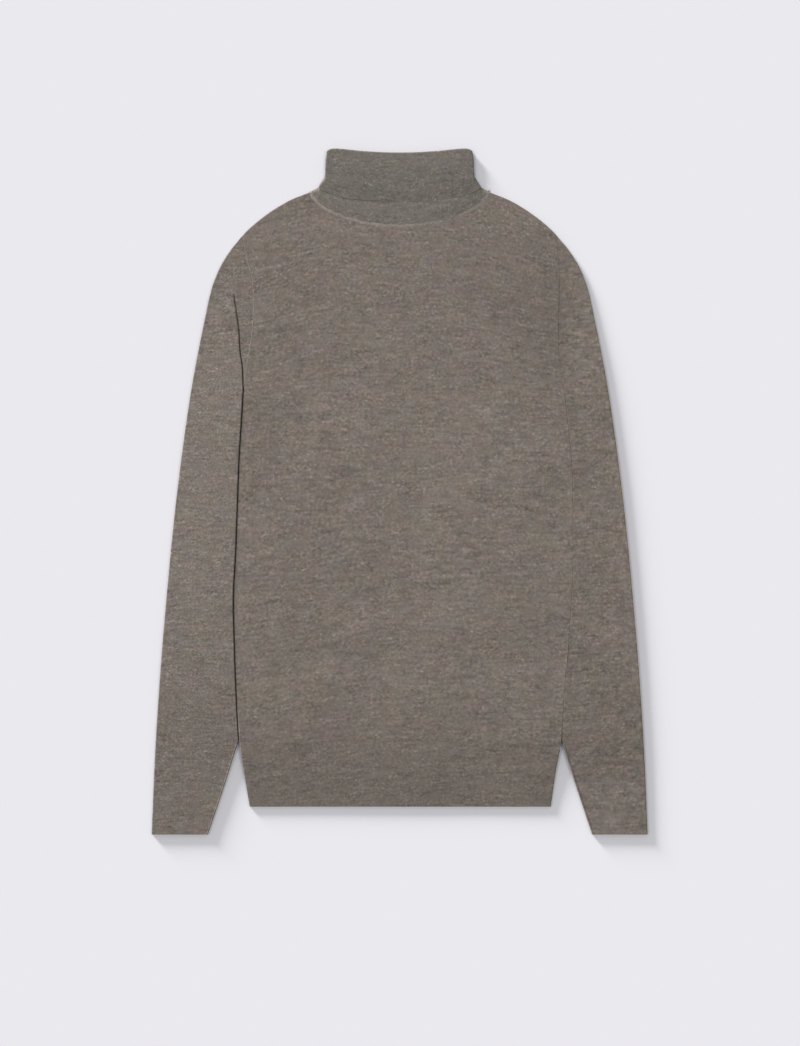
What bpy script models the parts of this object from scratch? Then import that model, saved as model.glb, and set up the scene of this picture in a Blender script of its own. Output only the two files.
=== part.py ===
"""Turtleneck sweater in fine knit, laid flat with its front up.

The front lies on the back, the side seams lie a little way over the inner edges
of the sleeves, and the roll collar is folded over once all round. +X is the
wearer's left, +Y runs from the hem to the collar and +Z is up. The origin is on
the surface that the sweater lies on, under the middle of its outline. Every
length in the tables is in millimetres.
"""
import bpy
from math import cos, hypot, pi, sin, sqrt

MM = 0.001

# ---------------------------------------------------------------- driving sizes
KNIT = 1.4              # thickness of one layer of the knit
SEAM = 0.3              # gap between two pieces at a seam
ARMHOLE_SEAM = 0.7      # the same along the curve of the armholes
FOLD_SEAM = 0.8         # the same where front and back meet round a folded edge
BODY_HEIGHT = 3.6       # front and back together, lying on each other
TUCK_HEIGHT = 3.4       # the part of a sleeve that lies under the body
COLLAR_HEIGHT = 6.8     # stand and turnover, front and back, four layers
STAND_HEIGHT = 3.4      # the two layers of the stand between the turnover's two

HEM_Y = -355.8          # lower edge of the body
HEM_SEAM_Y = -283.1     # upper edge of the hem's rib
CUFF_Y = -387.2         # lower edge of the sleeves
CUFF_SEAM_Y = -328.3    # upper edge of the cuffs' rib
UNDERARM_Y = 117.0
SHOULDER_Y = 288.9      # where the shoulder seam meets the armhole
NECK_Y = 338.4          # highest point of the shoulder seam, at the collar
NECK_X = 100.0
FRONT_NECK_Y = 298.9    # lowest point of the neckline seam
BACK_NECK_Y = 322.6
NECK_CURVE = 0.58       # 0.5 would make the neckline half an ellipse
COLLAR_TOP_Y = 382.6    # top fold at the middle

LIFT = TUCK_HEIGHT + SEAM     # how far the body's sides lie above the surface
LIFT_REACH = 80.0             # the body rises over this width beside a sleeve
LIFT_MARGIN = 9.0             # and is at its full height this far from the sleeve's edge
LIFT_STARTS_Y = 117.0
LIFT_FULL_Y = 68.0
LIFT_FADES_Y = -283.0
LIFT_ENDS_Y = -345.0
UNDERARM_FLARE = 5.0          # the armhole turns out to the side seam over this height
CREASE_DEPTH = 1.1            # fold that runs from the underarm into the sleeve
CREASE_ENDS_Y = 223.0
CREASE_FULL_Y = 165.0
CREASED_RING = 2              # the ring of the sleeve whose top follows that fold
TUCK_ENDS_Y = -300.0          # below this the sleeve's inner edge lies free
STEP_AWAY = (7.1, 5.3, 4.2)   # the sleeve steps down to its inner edge at these distances from it
BRINK_DROP = 0.35             # the top of that step is rounded by this much
BRINK_CLEAR = 0.6             # and stays this far from the body's side
SIDES = {"left": 1, "right": -1}      # the wearer's sides

# Half widths of the body at its side seams.
BODY_SIDE = dict(columns=("y", "left", "right"), rows=(
    (-355.8, 170.6, 169.3),
    (-319.0, 175.8, 175.4),
    (-283.1, 181.9, 180.6),
    (-235.0, 185.1, 183.7),
    (-173.0, 190.3, 186.0),
    (-122.0, 193.8, 187.1),
    (-70.0, 195.6, 184.6),
    (-10.0, 195.4, 182.4),
    (34.0, 194.0, 180.8),
    (80.0, 189.2, 178.0),
    (117.0, 185.2, 175.8),
))
# Distance of the armhole seams from the middle, from the underarm up.
ARMHOLE = dict(columns=("y", "left", "right"), rows=(
    (117.0, 185.2, 175.8),
    (140.0, 180.6, 172.6),
    (164.0, 178.0, 168.6),
    (190.0, 178.2, 165.4),
    (215.0, 178.8, 164.4),
    (240.0, 179.4, 166.4),
    (262.0, 178.6, 172.2),
    (288.9, 177.2, 177.2),
))
# The shoulder seam, from the collar to the armhole.
SHOULDER = dict(columns=("x", "y"), rows=(
    (100.0, 338.4),
    (122.7, 329.4),
    (142.3, 318.1),
    (157.9, 306.8),
    (171.0, 295.5),
    (177.2, 288.9),
))
# Outer edge of both sleeves, from the cuff up.
OUTLINE = dict(columns=("y", "x"), rows=(
    (-387.4, 280.0),
    (-303.4, 276.5),
    (-213.0, 270.9),
    (-122.6, 263.5),
    (-32.2, 254.8),
    (58.2, 243.7),
    (126.0, 233.4),
    (193.8, 220.2),
    (227.7, 212.7),
    (250.3, 204.2),
    (272.9, 190.6),
    (288.9, 177.2),
))
# Inner edge of the sleeves: beside the body, then under it, then free again.
INNER_EDGE = dict(columns=("y", "left", "right"), rows=(
    (-387.4, 217.3, 216.5),
    (-328.3, 197.6, 196.6),
    (-300.0, 188.6, 187.8),
    (-283.1, 183.4, 182.2),
    (-262.0, 176.0, 174.6),
    (-230.0, 164.0, 162.0),
    (-185.0, 152.0, 148.0),
    (-135.0, 144.0, 139.0),
    (-85.0, 141.0, 136.0),
    (-40.0, 143.0, 138.0),
    (0.0, 150.0, 145.0),
    (30.0, 164.0, 157.0),
    (52.0, 183.0, 171.0),
    (66.0, 191.6, 179.7),
    (97.0, 188.4, 178.0),
    (117.0, 186.0, 176.6),
))
# Rings of a sleeve, from the armhole to the cuff's seam: the places of a ring's
# two ends on the sleeve's edges, its height at the outer edge and beside the
# body, and how much of the armhole's curve is left in it.
SLEEVE_RINGS = dict(columns=("outer_y", "inner_y", "edge", "crown", "curve"), rows=(
    (288.2, 117.0, 3.6, 3.6, 1.00),
    (281.0, 114.5, 3.7, 3.7, 0.55),
    (272.0, 112.0, 3.9, 3.9, 0.12),
    (265.0, 109.5, 4.1, 4.1, 0.05),
    (248.0, 105.0, 4.4, 4.6, 0.00),
    (222.0, 97.0, 4.8, 5.3, 0.00),
    (190.0, 88.0, 5.1, 5.9, 0.00),
    (150.0, 78.0, 5.3, 6.4, 0.00),
    (112.0, 65.0, 5.4, 6.6, 0.00),
    (85.0, 50.0, 5.4, 6.7, 0.00),
    (50.0, 28.0, 5.4, 6.7, 0.00),
    (13.0, 0.0, 5.4, 6.7, 0.00),
    (-35.0, -40.0, 5.4, 6.7, 0.00),
    (-85.0, -85.0, 5.4, 6.7, 0.00),
    (-135.0, -135.0, 5.4, 6.7, 0.00),
    (-185.0, -185.0, 5.4, 6.6, 0.00),
    (-230.0, -230.0, 5.3, 6.2, 0.00),
    (-262.0, -262.0, 5.2, 5.7, 0.00),
    (-283.1, -283.1, 5.1, 5.3, 0.00),
    (-300.0, -300.0, 5.0, 5.0, 0.00),
    (CUFF_SEAM_Y + SEAM / 2, CUFF_SEAM_Y + SEAM / 2, 4.8, 4.8, 0.00),
))
CUFF_RINGS = dict(columns=("outer_y", "inner_y", "edge", "crown", "curve"), rows=(
    (CUFF_SEAM_Y - SEAM / 2, CUFF_SEAM_Y - SEAM / 2, 4.8, 4.8, 0.00),
    (-348.0, -348.0, 4.7, 4.7, 0.00),
    (-368.0, -368.0, 4.6, 4.6, 0.00),
    (CUFF_Y, CUFF_Y, 4.5, 4.5, 0.00),
))
# Rings of the collar up the stand and, after the top fold, down the turnover.
# An edge runs from the side point to the middle as 1 - (1 - q*q) ** bend.
STAND_RINGS = dict(columns=("half_width", "side_y", "front_y", "back_y", "bend", "front", "back"), rows=(
    (100.0, 338.5, 299.05, 322.75, 0.58, 3.6, 0.0),
    (95.6, 340.3, 306.0, 324.4, 0.57, 3.9, 0.6),
    (90.6, 343.2, 314.0, 326.0, 0.55, 4.6, 1.5),
    (85.7, 348.6, 322.0, 329.4, 0.48, 5.1, 1.7),
    (82.8, 356.0, 334.0, 337.0, 0.34, 5.1, 1.7),
    (82.2, 363.0, 347.0, 348.0, 0.24, 5.1, 1.7),
    (81.7, 370.0, 360.0, 360.0, 0.16, 5.1, 1.7),
))
TURNOVER_RINGS = dict(columns=("half_width", "side_y", "front_y", "back_y", "bend", "front", "back"), rows=(
    (83.8, 374.0, 366.0, 366.0, 0.10, 6.8, 0.0),
    (84.4, 362.0, 353.0, 353.0, 0.18, 6.8, 0.0),
    (85.0, 355.6, 344.0, 344.0, 0.28, 6.8, 0.0),
    (88.2, 350.2, 335.0, 335.0, 0.42, 6.8, 0.0),
    (92.0, 344.6, 326.9, 326.9, 0.56, 6.8, 0.0),
))
COLLAR_CREST = dict(half_width=82.6, side_y=382.0, rise=6.5, bend=0.08)
CREST_ANGLES = (0.15 * pi, 0.5 * pi, 0.85 * pi)      # places round the top fold
CREST_CLEAR = 0.001                                  # keeps those rings apart from the others

HEM_ROWS = (0.0, 0.3, 0.6, 0.85, 1.0)                # shares of the hem's height
BODY_ROWS_Y = (-235.0, -185.0, -135.0, -85.0, -35.0, 13.0, 50.0, 84.0, 102.0, 117.0)
NECK_COLUMNS = (0.0, 0.22, 0.44, 0.64, 0.80, 0.92, 1.0)     # shares of the collar's half width
SHOULDER_COLUMNS = (0.572, 0.66, 0.76, 0.86, 0.94)          # shares of the shoulders' half width
ARMHOLE_POINTS = 6
BEND_ANGLES = (0.0, pi / 6, pi / 3, pi / 2)          # points round a folded edge

MELANGE = (0.190, 0.160, 0.138)
MELANGE_DARK = (0.158, 0.138, 0.118)


# ------------------------------------------------------------------ small tools
def column(table, name):
    """Return one named column of a table."""
    place = table["columns"].index(name)
    return [row[place] for row in table["rows"]]


def records(table):
    """Return a table's rows as dictionaries by column name."""
    return [dict(zip(table["columns"], row)) for row in table["rows"]]


def smooth(table, along, name, at):
    """Read a column at any place with a cubic that never overshoots its rows."""
    xs = column(table, along)
    ys = column(table, name)
    if at <= xs[0]:
        return ys[0]
    if at >= xs[-1]:
        return ys[-1]
    slopes = [(ys[i + 1] - ys[i]) / (xs[i + 1] - xs[i]) for i in range(len(xs) - 1)]
    tangents = [slopes[0]]
    for before, after in zip(slopes, slopes[1:]):
        turns = before * after <= 0
        tangents.append(0.0 if turns else 2 * before * after / (before + after))
    tangents.append(slopes[-1])
    i = max(k for k in range(len(xs) - 1) if xs[k] <= at)
    span = xs[i + 1] - xs[i]
    t = (at - xs[i]) / span
    value = ys[i] * (1 + 2 * t) * (1 - t) ** 2 + ys[i + 1] * t * t * (3 - 2 * t)
    return value + span * (tangents[i] * t * (1 - t) ** 2 - tangents[i + 1] * t * t * (1 - t))


def ease(t):
    """Rise smoothly from 0 to 1."""
    t = min(max(t, 0.0), 1.0)
    return t * t * (3 - 2 * t)


def mix(a, b, t):
    return a + (b - a) * t


def bisect(function, low, high):
    """Find where a falling function crosses zero."""
    for _ in range(40):
        middle = (low + high) / 2
        if function(middle) > 0:
            low = middle
        else:
            high = middle
    return (low + high) / 2


# -------------------------------------------------------------- the flat layout
def side_of(x):
    return "left" if x >= 0 else "right"


def body_side(side, y):
    return smooth(BODY_SIDE, "y", side, y)


def inner_edge(side, y):
    return smooth(INNER_EDGE, "y", side, y)


def armhole(side, y):
    return smooth(ARMHOLE, "y", side, y)


def outline(y):
    return smooth(OUTLINE, "y", "x", y)


def body_lift(x, y):
    """Height of the back's underside, which rises over the tucked sleeves."""
    nearness = (abs(x) - inner_edge(side_of(x), y) + LIFT_MARGIN) / LIFT_REACH + 1
    upper = (LIFT_STARTS_Y - y) / (LIFT_STARTS_Y - LIFT_FULL_Y)
    lower = (y - LIFT_ENDS_Y) / (LIFT_FADES_Y - LIFT_ENDS_Y)
    return LIFT * ease(nearness) * ease(upper) * ease(lower)


def round_off(distance, radius):
    """Share of the full height at a distance from a folded edge."""
    if distance >= radius:
        return 1.0
    return sqrt(max(0.0, 1 - (1 - distance / radius) ** 2))


def bend_offsets(radius):
    """Distances from a folded edge of the points round its bend."""
    return [radius * (1 - cos(angle)) for angle in BEND_ANGLES]


def neckline(x, middle_y):
    q = min(abs(x) / NECK_X, 1.0)
    return middle_y + (NECK_Y - middle_y) * (1 - (1 - q * q) ** NECK_CURVE)


def top_edge(x, middle_y):
    """Upper edge of the front or back: the neckline, then the shoulder seam."""
    if abs(x) <= NECK_X:
        return neckline(x, middle_y) - SEAM / 2
    return smooth(SHOULDER, "x", "y", abs(x)) - KNIT / 2


def armhole_shares():
    """Where the armhole seam has its points, from the shoulder to the underarm."""
    length = SHOULDER_Y - KNIT / 2 - UNDERARM_Y
    first = (BODY_HEIGHT - KNIT) / 2 / length
    last = 1 - STEP_AWAY[0] / length
    return [mix(first, last, k / ARMHOLE_POINTS) for k in range(1, ARMHOLE_POINTS + 1)]


# ------------------------------------------------------------- meshes and nodes
def make_knit(name, material, points, rows, closed):
    """Skin rows of points with quads and thicken them to one layer of knit."""
    count = len(rows[0])
    faces = []
    for lower, upper in zip(rows, rows[1:]):
        for i in range(count if closed else count - 1):
            j = (i + 1) % count
            faces.append((lower[i], lower[j], upper[j], upper[i]))
    mesh = bpy.data.meshes.new(name)
    mesh.from_pydata([[value * MM for value in point] for point in points], [], faces)
    mesh.materials.append(material)
    mesh.validate()
    mesh.shade_smooth()
    piece = bpy.data.objects.new(name, mesh)
    COLLECTION.objects.link(piece)
    wall = piece.modifiers.new("knit", "SOLIDIFY")
    wall.thickness = KNIT * MM
    wall.offset = 0.0
    wall.use_even_offset = True
    wall.use_quality_normals = True
    return piece


def loft(name, material, sections, closed):
    """Make a knit piece through sections that all have the same number of points."""
    count = len(sections[0])
    points = [point for section in sections for point in section]
    rows = [range(k * count, (k + 1) * count) for k in range(len(sections))]
    return make_knit(name, material, points, rows, closed)


def knit_material(name, colour):
    material = bpy.data.materials.new(name)
    material.use_nodes = True
    shader = material.node_tree.nodes["Principled BSDF"]
    shader.inputs["Base Color"].default_value = (*colour, 1.0)
    shader.inputs["Roughness"].default_value = 0.95
    shader.inputs["Metallic"].default_value = 0.0
    shader.inputs["Sheen Weight"].default_value = 0.3
    material.diffuse_color = (*colour, 1.0)
    return material


# ------------------------------------------------------------------ body panels
def body_fold_share(x, y, top_y):
    """Share of the height beside the side seams and the shoulder seams."""
    side = side_of(x)
    radius = (BODY_HEIGHT - KNIT) / 2
    if y <= UNDERARM_Y:
        to_side = body_side(side, y) - KNIT / 2 - abs(x)
    else:
        to_side = hypot(body_side(side, UNDERARM_Y) - KNIT / 2 - abs(x), y - UNDERARM_Y)
    to_shoulder = radius if top_y is None else hypot(max(NECK_X - abs(x), 0.0), top_y - y)
    return round_off(max(min(to_side, to_shoulder), 0.0), radius)


def body_point(x, y, facing, top_y=None):
    """Middle of the knit of the front (facing 1) or back (-1), under a shoulder seam at top_y."""
    half = (BODY_HEIGHT - KNIT) / 2
    share = body_fold_share(x, y, top_y)
    centre = body_lift(x, y) + BODY_HEIGHT / 2
    return (x, y, centre + facing * mix(FOLD_SEAM / 2, half, share))


def across_body(side_left, side_right):
    """Places across the body of the points of one row, left side first."""
    radius = (BODY_HEIGHT - KNIT) / 2
    bend = bend_offsets(radius)
    neck = (NECK_X - KNIT / 2 - radius) / (armhole("left", SHOULDER_Y) - ARMHOLE_SEAM / 2 - radius)
    shares = [share * neck for share in NECK_COLUMNS] + list(SHOULDER_COLUMNS)
    plus = [share * (side_left - radius) for share in shares]
    plus += [side_left - offset for offset in reversed(bend)]
    minus = [share * (side_right - radius) for share in shares[1:]]
    minus += [side_right - offset for offset in reversed(bend)]
    return plus[::-1] + [-x for x in minus]


def body_row(y, facing):
    edges = [body_side(side, y) - KNIT / 2 for side in SIDES]
    return [body_point(x, y, facing) for x in across_body(*edges)]


def yoke_row(share, below_top, facing, middle_y):
    """A row between the underarms and the top edge, bowed like the shoulders."""
    level = mix(UNDERARM_Y, SHOULDER_Y - KNIT / 2, share)
    opened = ease((level - UNDERARM_Y) / UNDERARM_FLARE)
    edges = [mix(body_side(side, UNDERARM_Y) - KNIT / 2, armhole(side, level) - ARMHOLE_SEAM / 2, opened)
             for side in SIDES]
    tops = across_body(*[armhole(side, SHOULDER_Y) - ARMHOLE_SEAM / 2 for side in SIDES])
    row = []
    for x, top_x in zip(across_body(*edges), tops):
        top_y = top_edge(top_x, middle_y)
        y = mix(UNDERARM_Y, top_y, share) - below_top
        row.append(body_point(x, y, facing, top_y if abs(top_x) > NECK_X else None))
    return row


def make_body(name, material, facing, middle_y):
    """Front or back, from the hem's seam to the neckline and shoulder seams."""
    rows = [body_row(y, facing) for y in (HEM_SEAM_Y + SEAM / 2,) + BODY_ROWS_Y]
    rows += [yoke_row(1 - share, 0.0, facing, middle_y) for share in reversed(armhole_shares())]
    radius = (BODY_HEIGHT - KNIT) / 2
    rows += [yoke_row(1.0, offset, facing, middle_y) for offset in reversed(bend_offsets(radius))]
    return loft(name, material, rows, closed=False)


def make_hem(name, material, facing):
    """Ribbed band under the front or back."""
    levels = [mix(HEM_Y, HEM_SEAM_Y - SEAM / 2, share) for share in HEM_ROWS]
    return loft(name, material, [body_row(y, facing) for y in levels], closed=False)


# ---------------------------------------------------------------------- sleeves
def ring_place(side, ring, share):
    """A place on a ring, from the sleeve's outer edge (0) to its inner edge (1)."""
    outer = (outline(ring["outer_y"]) - KNIT / 2, ring["outer_y"])
    inner = (inner_edge(side, ring["inner_y"]) + KNIT / 2, ring["inner_y"])
    y = mix(outer[1], inner[1], share)
    seam_x = armhole(side, y) + ARMHOLE_SEAM / 2
    seam_x += (inner[0] - seam_x) * ease((UNDERARM_Y + UNDERARM_FLARE - y) / UNDERARM_FLARE)
    x = mix(mix(outer[0], inner[0], share), seam_x, ring["curve"])
    return x, y


def crease(side, y):
    """Depth of the fold that the dropped sleeve makes above the underarm."""
    if side != "right":
        return 0.0
    return CREASE_DEPTH * ease((CREASE_ENDS_Y - y) / (CREASE_ENDS_Y - CREASE_FULL_Y))


def ring_points(side, ring, creased):
    """Closed section of a sleeve: over its top, then back along its underside."""
    outer_radius = (ring["edge"] - KNIT) / 2
    inner_height = min(ring["crown"], TUCK_HEIGHT) if ring["inner_y"] > TUCK_ENDS_Y else ring["crown"]
    inner_radius = (inner_height - KNIT) / 2
    start = ring_place(side, ring, 0.0)
    end = ring_place(side, ring, 1.0)
    length = hypot(start[0] - end[0], start[1] - end[1])

    def beyond_body(share):
        x, y = ring_place(side, ring, share)
        return x - body_side(side, y)

    def step(away):
        """Share at which the ring is this far from its end and outside the body."""
        from_end = 1 - away / length
        if beyond_body(1.0) > 0:
            return from_end
        clear = away - STEP_AWAY[-1] + KNIT / 2 + BRINK_CLEAR
        return min(from_end, bisect(lambda share: beyond_body(share) - clear, 0.0, 1.0))

    high, brink, low = [step(away) for away in STEP_AWAY]
    first = outer_radius / length
    last = 1 - inner_radius / length
    parts = [k / ARMHOLE_POINTS for k in range(1, ARMHOLE_POINTS + 1)]
    top = [(offset / length, round_off(offset, outer_radius), ring["edge"])
           for offset in bend_offsets(outer_radius)]
    for part in parts:
        share = mix(first, high, part)
        top.append((share, 1.0, mix(ring["edge"], ring["crown"], part)))
    top.append((brink, 1.0, ring["crown"] - BRINK_DROP * (ring["crown"] > inner_height)))
    top.append((low, 1.0, inner_height))
    top.append((mix(low, last, 0.5), 1.0, inner_height))
    top += [(1 - offset / length, round_off(offset, inner_radius), inner_height)
            for offset in reversed(bend_offsets(inner_radius))]

    points = []
    for share, rounding, height in top:
        x, y = ring_place(side, ring, share)
        half = (height - KNIT) / 2
        z = height / 2 + half * rounding
        if creased:
            z -= crease(side, y) * rounding * ease((1 - share) * length / STEP_AWAY[0] - 1)
        points.append((x, y, z))
    under = [(1 - offset / length, round_off(offset, inner_radius), inner_height)
             for offset in bend_offsets(inner_radius)[1:]]
    under += [(mix(first, high, part), 1.0, 0.0) for part in reversed(parts)]
    under += [(offset / length, round_off(offset, outer_radius), ring["edge"])
              for offset in reversed(bend_offsets(outer_radius)[1:])]
    for share, rounding, height in under:
        x, y = ring_place(side, ring, share)
        half = (height - KNIT) / 2
        z = height / 2 - half * rounding if rounding < 1 else KNIT / 2
        points.append((x, y, z))
    return [(SIDES[side] * x, y, z) for x, y, z in points]


def make_sleeve(side, part, table, material):
    """A sleeve or its cuff, as one flattened tube."""
    sections = []
    for k, ring in enumerate(records(table)):
        creased = part == "sleeve" and k == CREASED_RING
        sections.append(ring_points(side, ring, creased))
    if SIDES[side] < 0:
        sections = [section[::-1] for section in sections]
    return loft(f"{part}_{side}", material, sections, closed=True)


# ----------------------------------------------------------------------- collar
def collar_ring(ring, rise=0.0):
    """Closed flattened ring of the collar: its front, then its back."""
    half = (ring["front"] - ring["back"] - KNIT) / 2
    centre = (ring["front"] + ring["back"]) / 2
    width = ring["half_width"] - KNIT / 2
    bend = bend_offsets(half)
    inner = width - bend[-1]
    columns = [(share * inner, 1.0) for share in NECK_COLUMNS[:-1]]
    columns += [(width - offset, round_off(offset, half)) for offset in reversed(bend)]

    def place(x, rounding, facing):
        q = x / width
        middle_y = ring["front_y"] if facing > 0 else ring["back_y"]
        fall = 1 - max(1 - q * q, 0.0) ** ring["bend"]
        y = middle_y + rise * q * q + (ring["side_y"] - middle_y - rise) * fall
        return y, centre + facing * half * rounding

    front = [(x, *place(x, rounding, 1)) for x, rounding in reversed(columns)]
    front += [(-x, y, z) for x, y, z in reversed(front[:-1])]
    back = [(-x, *place(x, rounding, -1)) for x, rounding in reversed(columns[:-1])]
    back += [(-x, y, z) for x, y, z in reversed(back[:-1])]
    return front + back


def crest_rings():
    """Rings round the top fold, from the stand's level out to the turnover's."""
    layer = (COLLAR_HEIGHT - STAND_HEIGHT) / 2
    radius = layer / 2
    rings = []
    for angle in CREST_ANGLES:
        out = (1 - cos(angle)) / 2
        drop = radius * (1 - sin(angle)) + CREST_CLEAR
        rings.append(dict(
            half_width=mix(COLLAR_CREST["half_width"] - layer, COLLAR_CREST["half_width"], out),
            side_y=COLLAR_CREST["side_y"] - drop,
            front_y=COLLAR_TOP_Y - KNIT / 2 - drop,
            back_y=COLLAR_TOP_Y - KNIT / 2 - drop,
            bend=COLLAR_CREST["bend"],
            front=mix(COLLAR_HEIGHT - layer, COLLAR_HEIGHT, out),
            back=mix(layer, 0.0, out),
        ))
    return rings


def make_collar(material):
    """Roll collar: the stand, the top fold and the turnover as one tube."""
    sections = [collar_ring(ring) for ring in records(STAND_RINGS)]
    sections += [collar_ring(ring, COLLAR_CREST["rise"]) for ring in crest_rings()]
    sections += [collar_ring(ring) for ring in records(TURNOVER_RINGS)]
    return loft("collar", material, sections, closed=True)


# ------------------------------------------------------------------------- main
for old in list(bpy.data.objects):
    bpy.data.objects.remove(old, do_unlink=True)
COLLECTION = bpy.data.collections.new("turtleneck_sweater")
bpy.context.scene.collection.children.link(COLLECTION)

body_knit = knit_material("melange knit", MELANGE)
rib_knit = knit_material("melange rib", MELANGE_DARK)
make_body("body_front", body_knit, 1, FRONT_NECK_Y)
make_body("body_back", body_knit, -1, BACK_NECK_Y)
make_hem("hem_rib_front", rib_knit, 1)
make_hem("hem_rib_back", rib_knit, -1)
for wearer_side in SIDES:
    make_sleeve(wearer_side, "sleeve", SLEEVE_RINGS, body_knit)
    make_sleeve(wearer_side, "cuff", CUFF_RINGS, rib_knit)
make_collar(rib_knit)
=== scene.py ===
"""The looks of a fine-knit turtleneck sweater that lies flat with its front up.

Each piece is a dense sheet of knit, thickened to one layer, in the place of its CAD node.
Lengths are in millimetres up to make_piece, which turns them into metres. +X is the
wearer's left, +Y runs from the hem to the collar and +Z is up. Heights of a piece's top
are those of the knit's upper face.
"""
from math import cos, pi, radians, sin

import bpy
import numpy as np
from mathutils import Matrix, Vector


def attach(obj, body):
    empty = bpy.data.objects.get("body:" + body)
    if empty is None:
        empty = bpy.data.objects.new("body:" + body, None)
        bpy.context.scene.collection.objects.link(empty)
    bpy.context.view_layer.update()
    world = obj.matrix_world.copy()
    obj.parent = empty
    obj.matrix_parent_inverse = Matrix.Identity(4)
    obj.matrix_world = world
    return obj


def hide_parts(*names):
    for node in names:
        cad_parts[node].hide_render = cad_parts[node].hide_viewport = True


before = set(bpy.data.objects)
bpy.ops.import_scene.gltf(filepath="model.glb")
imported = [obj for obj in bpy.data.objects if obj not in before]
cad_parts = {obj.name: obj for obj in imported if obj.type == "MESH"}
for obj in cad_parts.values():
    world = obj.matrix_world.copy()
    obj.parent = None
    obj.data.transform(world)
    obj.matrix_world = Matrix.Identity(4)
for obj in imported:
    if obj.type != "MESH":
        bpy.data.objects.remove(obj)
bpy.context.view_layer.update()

MM = 0.001

# ---- sizes shared with part.py
KNIT = 1.4  # thickness of one layer of the knit
BODY_HEIGHT = 3.6  # front and back together
TUCK_HEIGHT = 3.4  # the part of a sleeve that lies under the body
COLLAR_HEIGHT = 6.8
HEM_Y = -355.8
HEM_SEAM_Y = -283.1
CUFF_Y = -387.2
CUFF_SEAM_Y = -328.3
UNDERARM_Y = 117
SHOULDER_Y = 288.9  # lower end of the shoulder seam
NECK_Y = 338.4  # upper end of the shoulder seam, where the neckline starts
NECK_X = 100
FRONT_NECK_Y = 298.9  # the necklines at the middle
BACK_NECK_Y = 322.6
NECK_CURVE = 0.58  # the lower, the flatter the neckline's middle
COLLAR_TOP_Y = 382.6
LIFT = 3.7  # how far the body's sides lie above the surface
LIFT_MARGIN = 9  # the lift is full this far inside a sleeve's hidden edge
LIFT_FADES_Y = -283  # it fades from here down
LEFT, RIGHT = 1, -1  # the wearer's sides
FRONT, BACK = 1, -1  # the faces
SIDE_NAMES = {LEFT: "left", RIGHT: "right"}

# The flat layout: half widths of the body, the armholes, the shoulder seams, and the outer
# and inner edges of the sleeves.
SIDE_COLUMNS = ("y", "left", "right")
BODY_SIDE = dict(columns=SIDE_COLUMNS, rows=(
    (-355.8, 170.6, 169.3),
    (-319, 175.8, 175.4),
    (-283.1, 181.9, 180.6),
    (-235, 185.1, 183.7),
    (-173, 190.3, 186),
    (-122, 193.8, 187.1),
    (-70, 195.6, 184.6),
    (-10, 195.4, 182.4),
    (34, 194, 180.8),
    (80, 189.2, 178),
    (117, 185.2, 175.8),
))
ARMHOLE = dict(columns=SIDE_COLUMNS, rows=(
    (117, 185.2, 175.8),
    (140, 180.6, 172.6),
    (164, 178, 168.6),
    (190, 178.2, 165.4),
    (215, 178.8, 164.4),
    (240, 179.4, 166.4),
    (262, 178.6, 172.2),
    (288.9, 177.2, 177.2),
))
SHOULDER = dict(columns=("x", "y"), rows=(
    (100, 338.4),
    (122.7, 329.4),
    (142.3, 318.1),
    (157.9, 306.8),
    (171, 295.5),
    (177.2, 288.9),
))
OUTLINE = dict(columns=("y", "x"), rows=(
    (-387.4, 280),
    (-303.4, 276.5),
    (-213, 270.9),
    (-122.6, 263.5),
    (-32.2, 254.8),
    (58.2, 243.7),
    (126, 233.4),
    (193.8, 220.2),
    (227.7, 212.7),
    (250.3, 204.2),
    (272.9, 190.6),
    (288.9, 177.2),
))
INNER_EDGE = dict(columns=SIDE_COLUMNS, rows=(
    (-387.4, 217.3, 216.5),
    (-328.3, 197.6, 196.6),
    (-300, 188.6, 187.8),
    (-283.1, 183.4, 182.2),
    (-262, 176, 174.6),
    (-230, 164, 162),
    (-185, 152, 148),
    (-135, 144, 139),
    (-85, 141, 136),
    (-40, 143, 138),
    (0, 150, 145),
    (30, 164, 157),
    (52, 183, 171),
    (66, 191.6, 179.7),
    (97, 188.4, 178),
    (117, 186, 176.6),
))
# Rings of the collar: half width, place at the sides and at the middle of the front and
# back, bend, heights of the front's top and the back's underside, and half the thickness.
RING_COLUMNS = (
    "t", "half_width", "side_y", "front_y", "back_y", "bend", "front", "back", "half")
STAND_RINGS = dict(columns=RING_COLUMNS, rows=(
    (0, 100, 338.5, 299.05, 322.75, 0.58, 3.6, 0, 0.7),
    (1, 95.6, 340.3, 306, 324.4, 0.57, 3.95, 0.6, 0.7),
    (2, 90.6, 343.2, 314, 326, 0.55, 4.3, 1.2, 0.7),
    (3, 85.7, 348.6, 322, 329.4, 0.48, 4.5, 1.6, 0.7),
    (4, 82.8, 356, 334, 337, 0.34, 4.55, 1.6, 0.7),
    (5, 82.2, 363, 347, 348, 0.24, 4.65, 1.6, 0.7),
    (6, 81.7, 370, 360, 360, 0.16, 4.75, 1.6, 0.7),
))
TURNOVER_RINGS = dict(columns=RING_COLUMNS, rows=(
    (0, 83.8, 374, 366, 366, 0.1, 6.6, 0, 0.7),
    (1, 84.4, 362, 353, 353, 0.18, 6.05, 0, 0.56),
    (2, 85, 355.6, 344, 344, 0.28, 5.67, 0, 0.43),
    (3, 88.2, 350.2, 335, 335, 0.42, 5.24, 0, 0.27),
    (4, 92, 344.6, 326.9, 326.9, 0.56, 4.81, 0, 0.12),
))
COLLAR_CREST = dict(half_width=82.6, side_y=382, rise=6.5)
CREST_HALF = 0.85  # half the height of the fold's turn, seen from above
CREST_CORNER = 14  # the higher, the squarer the collar's top corners
COLLAR_ROUND = 0.5  # radius of the collar's side folds, seen from above
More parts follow.
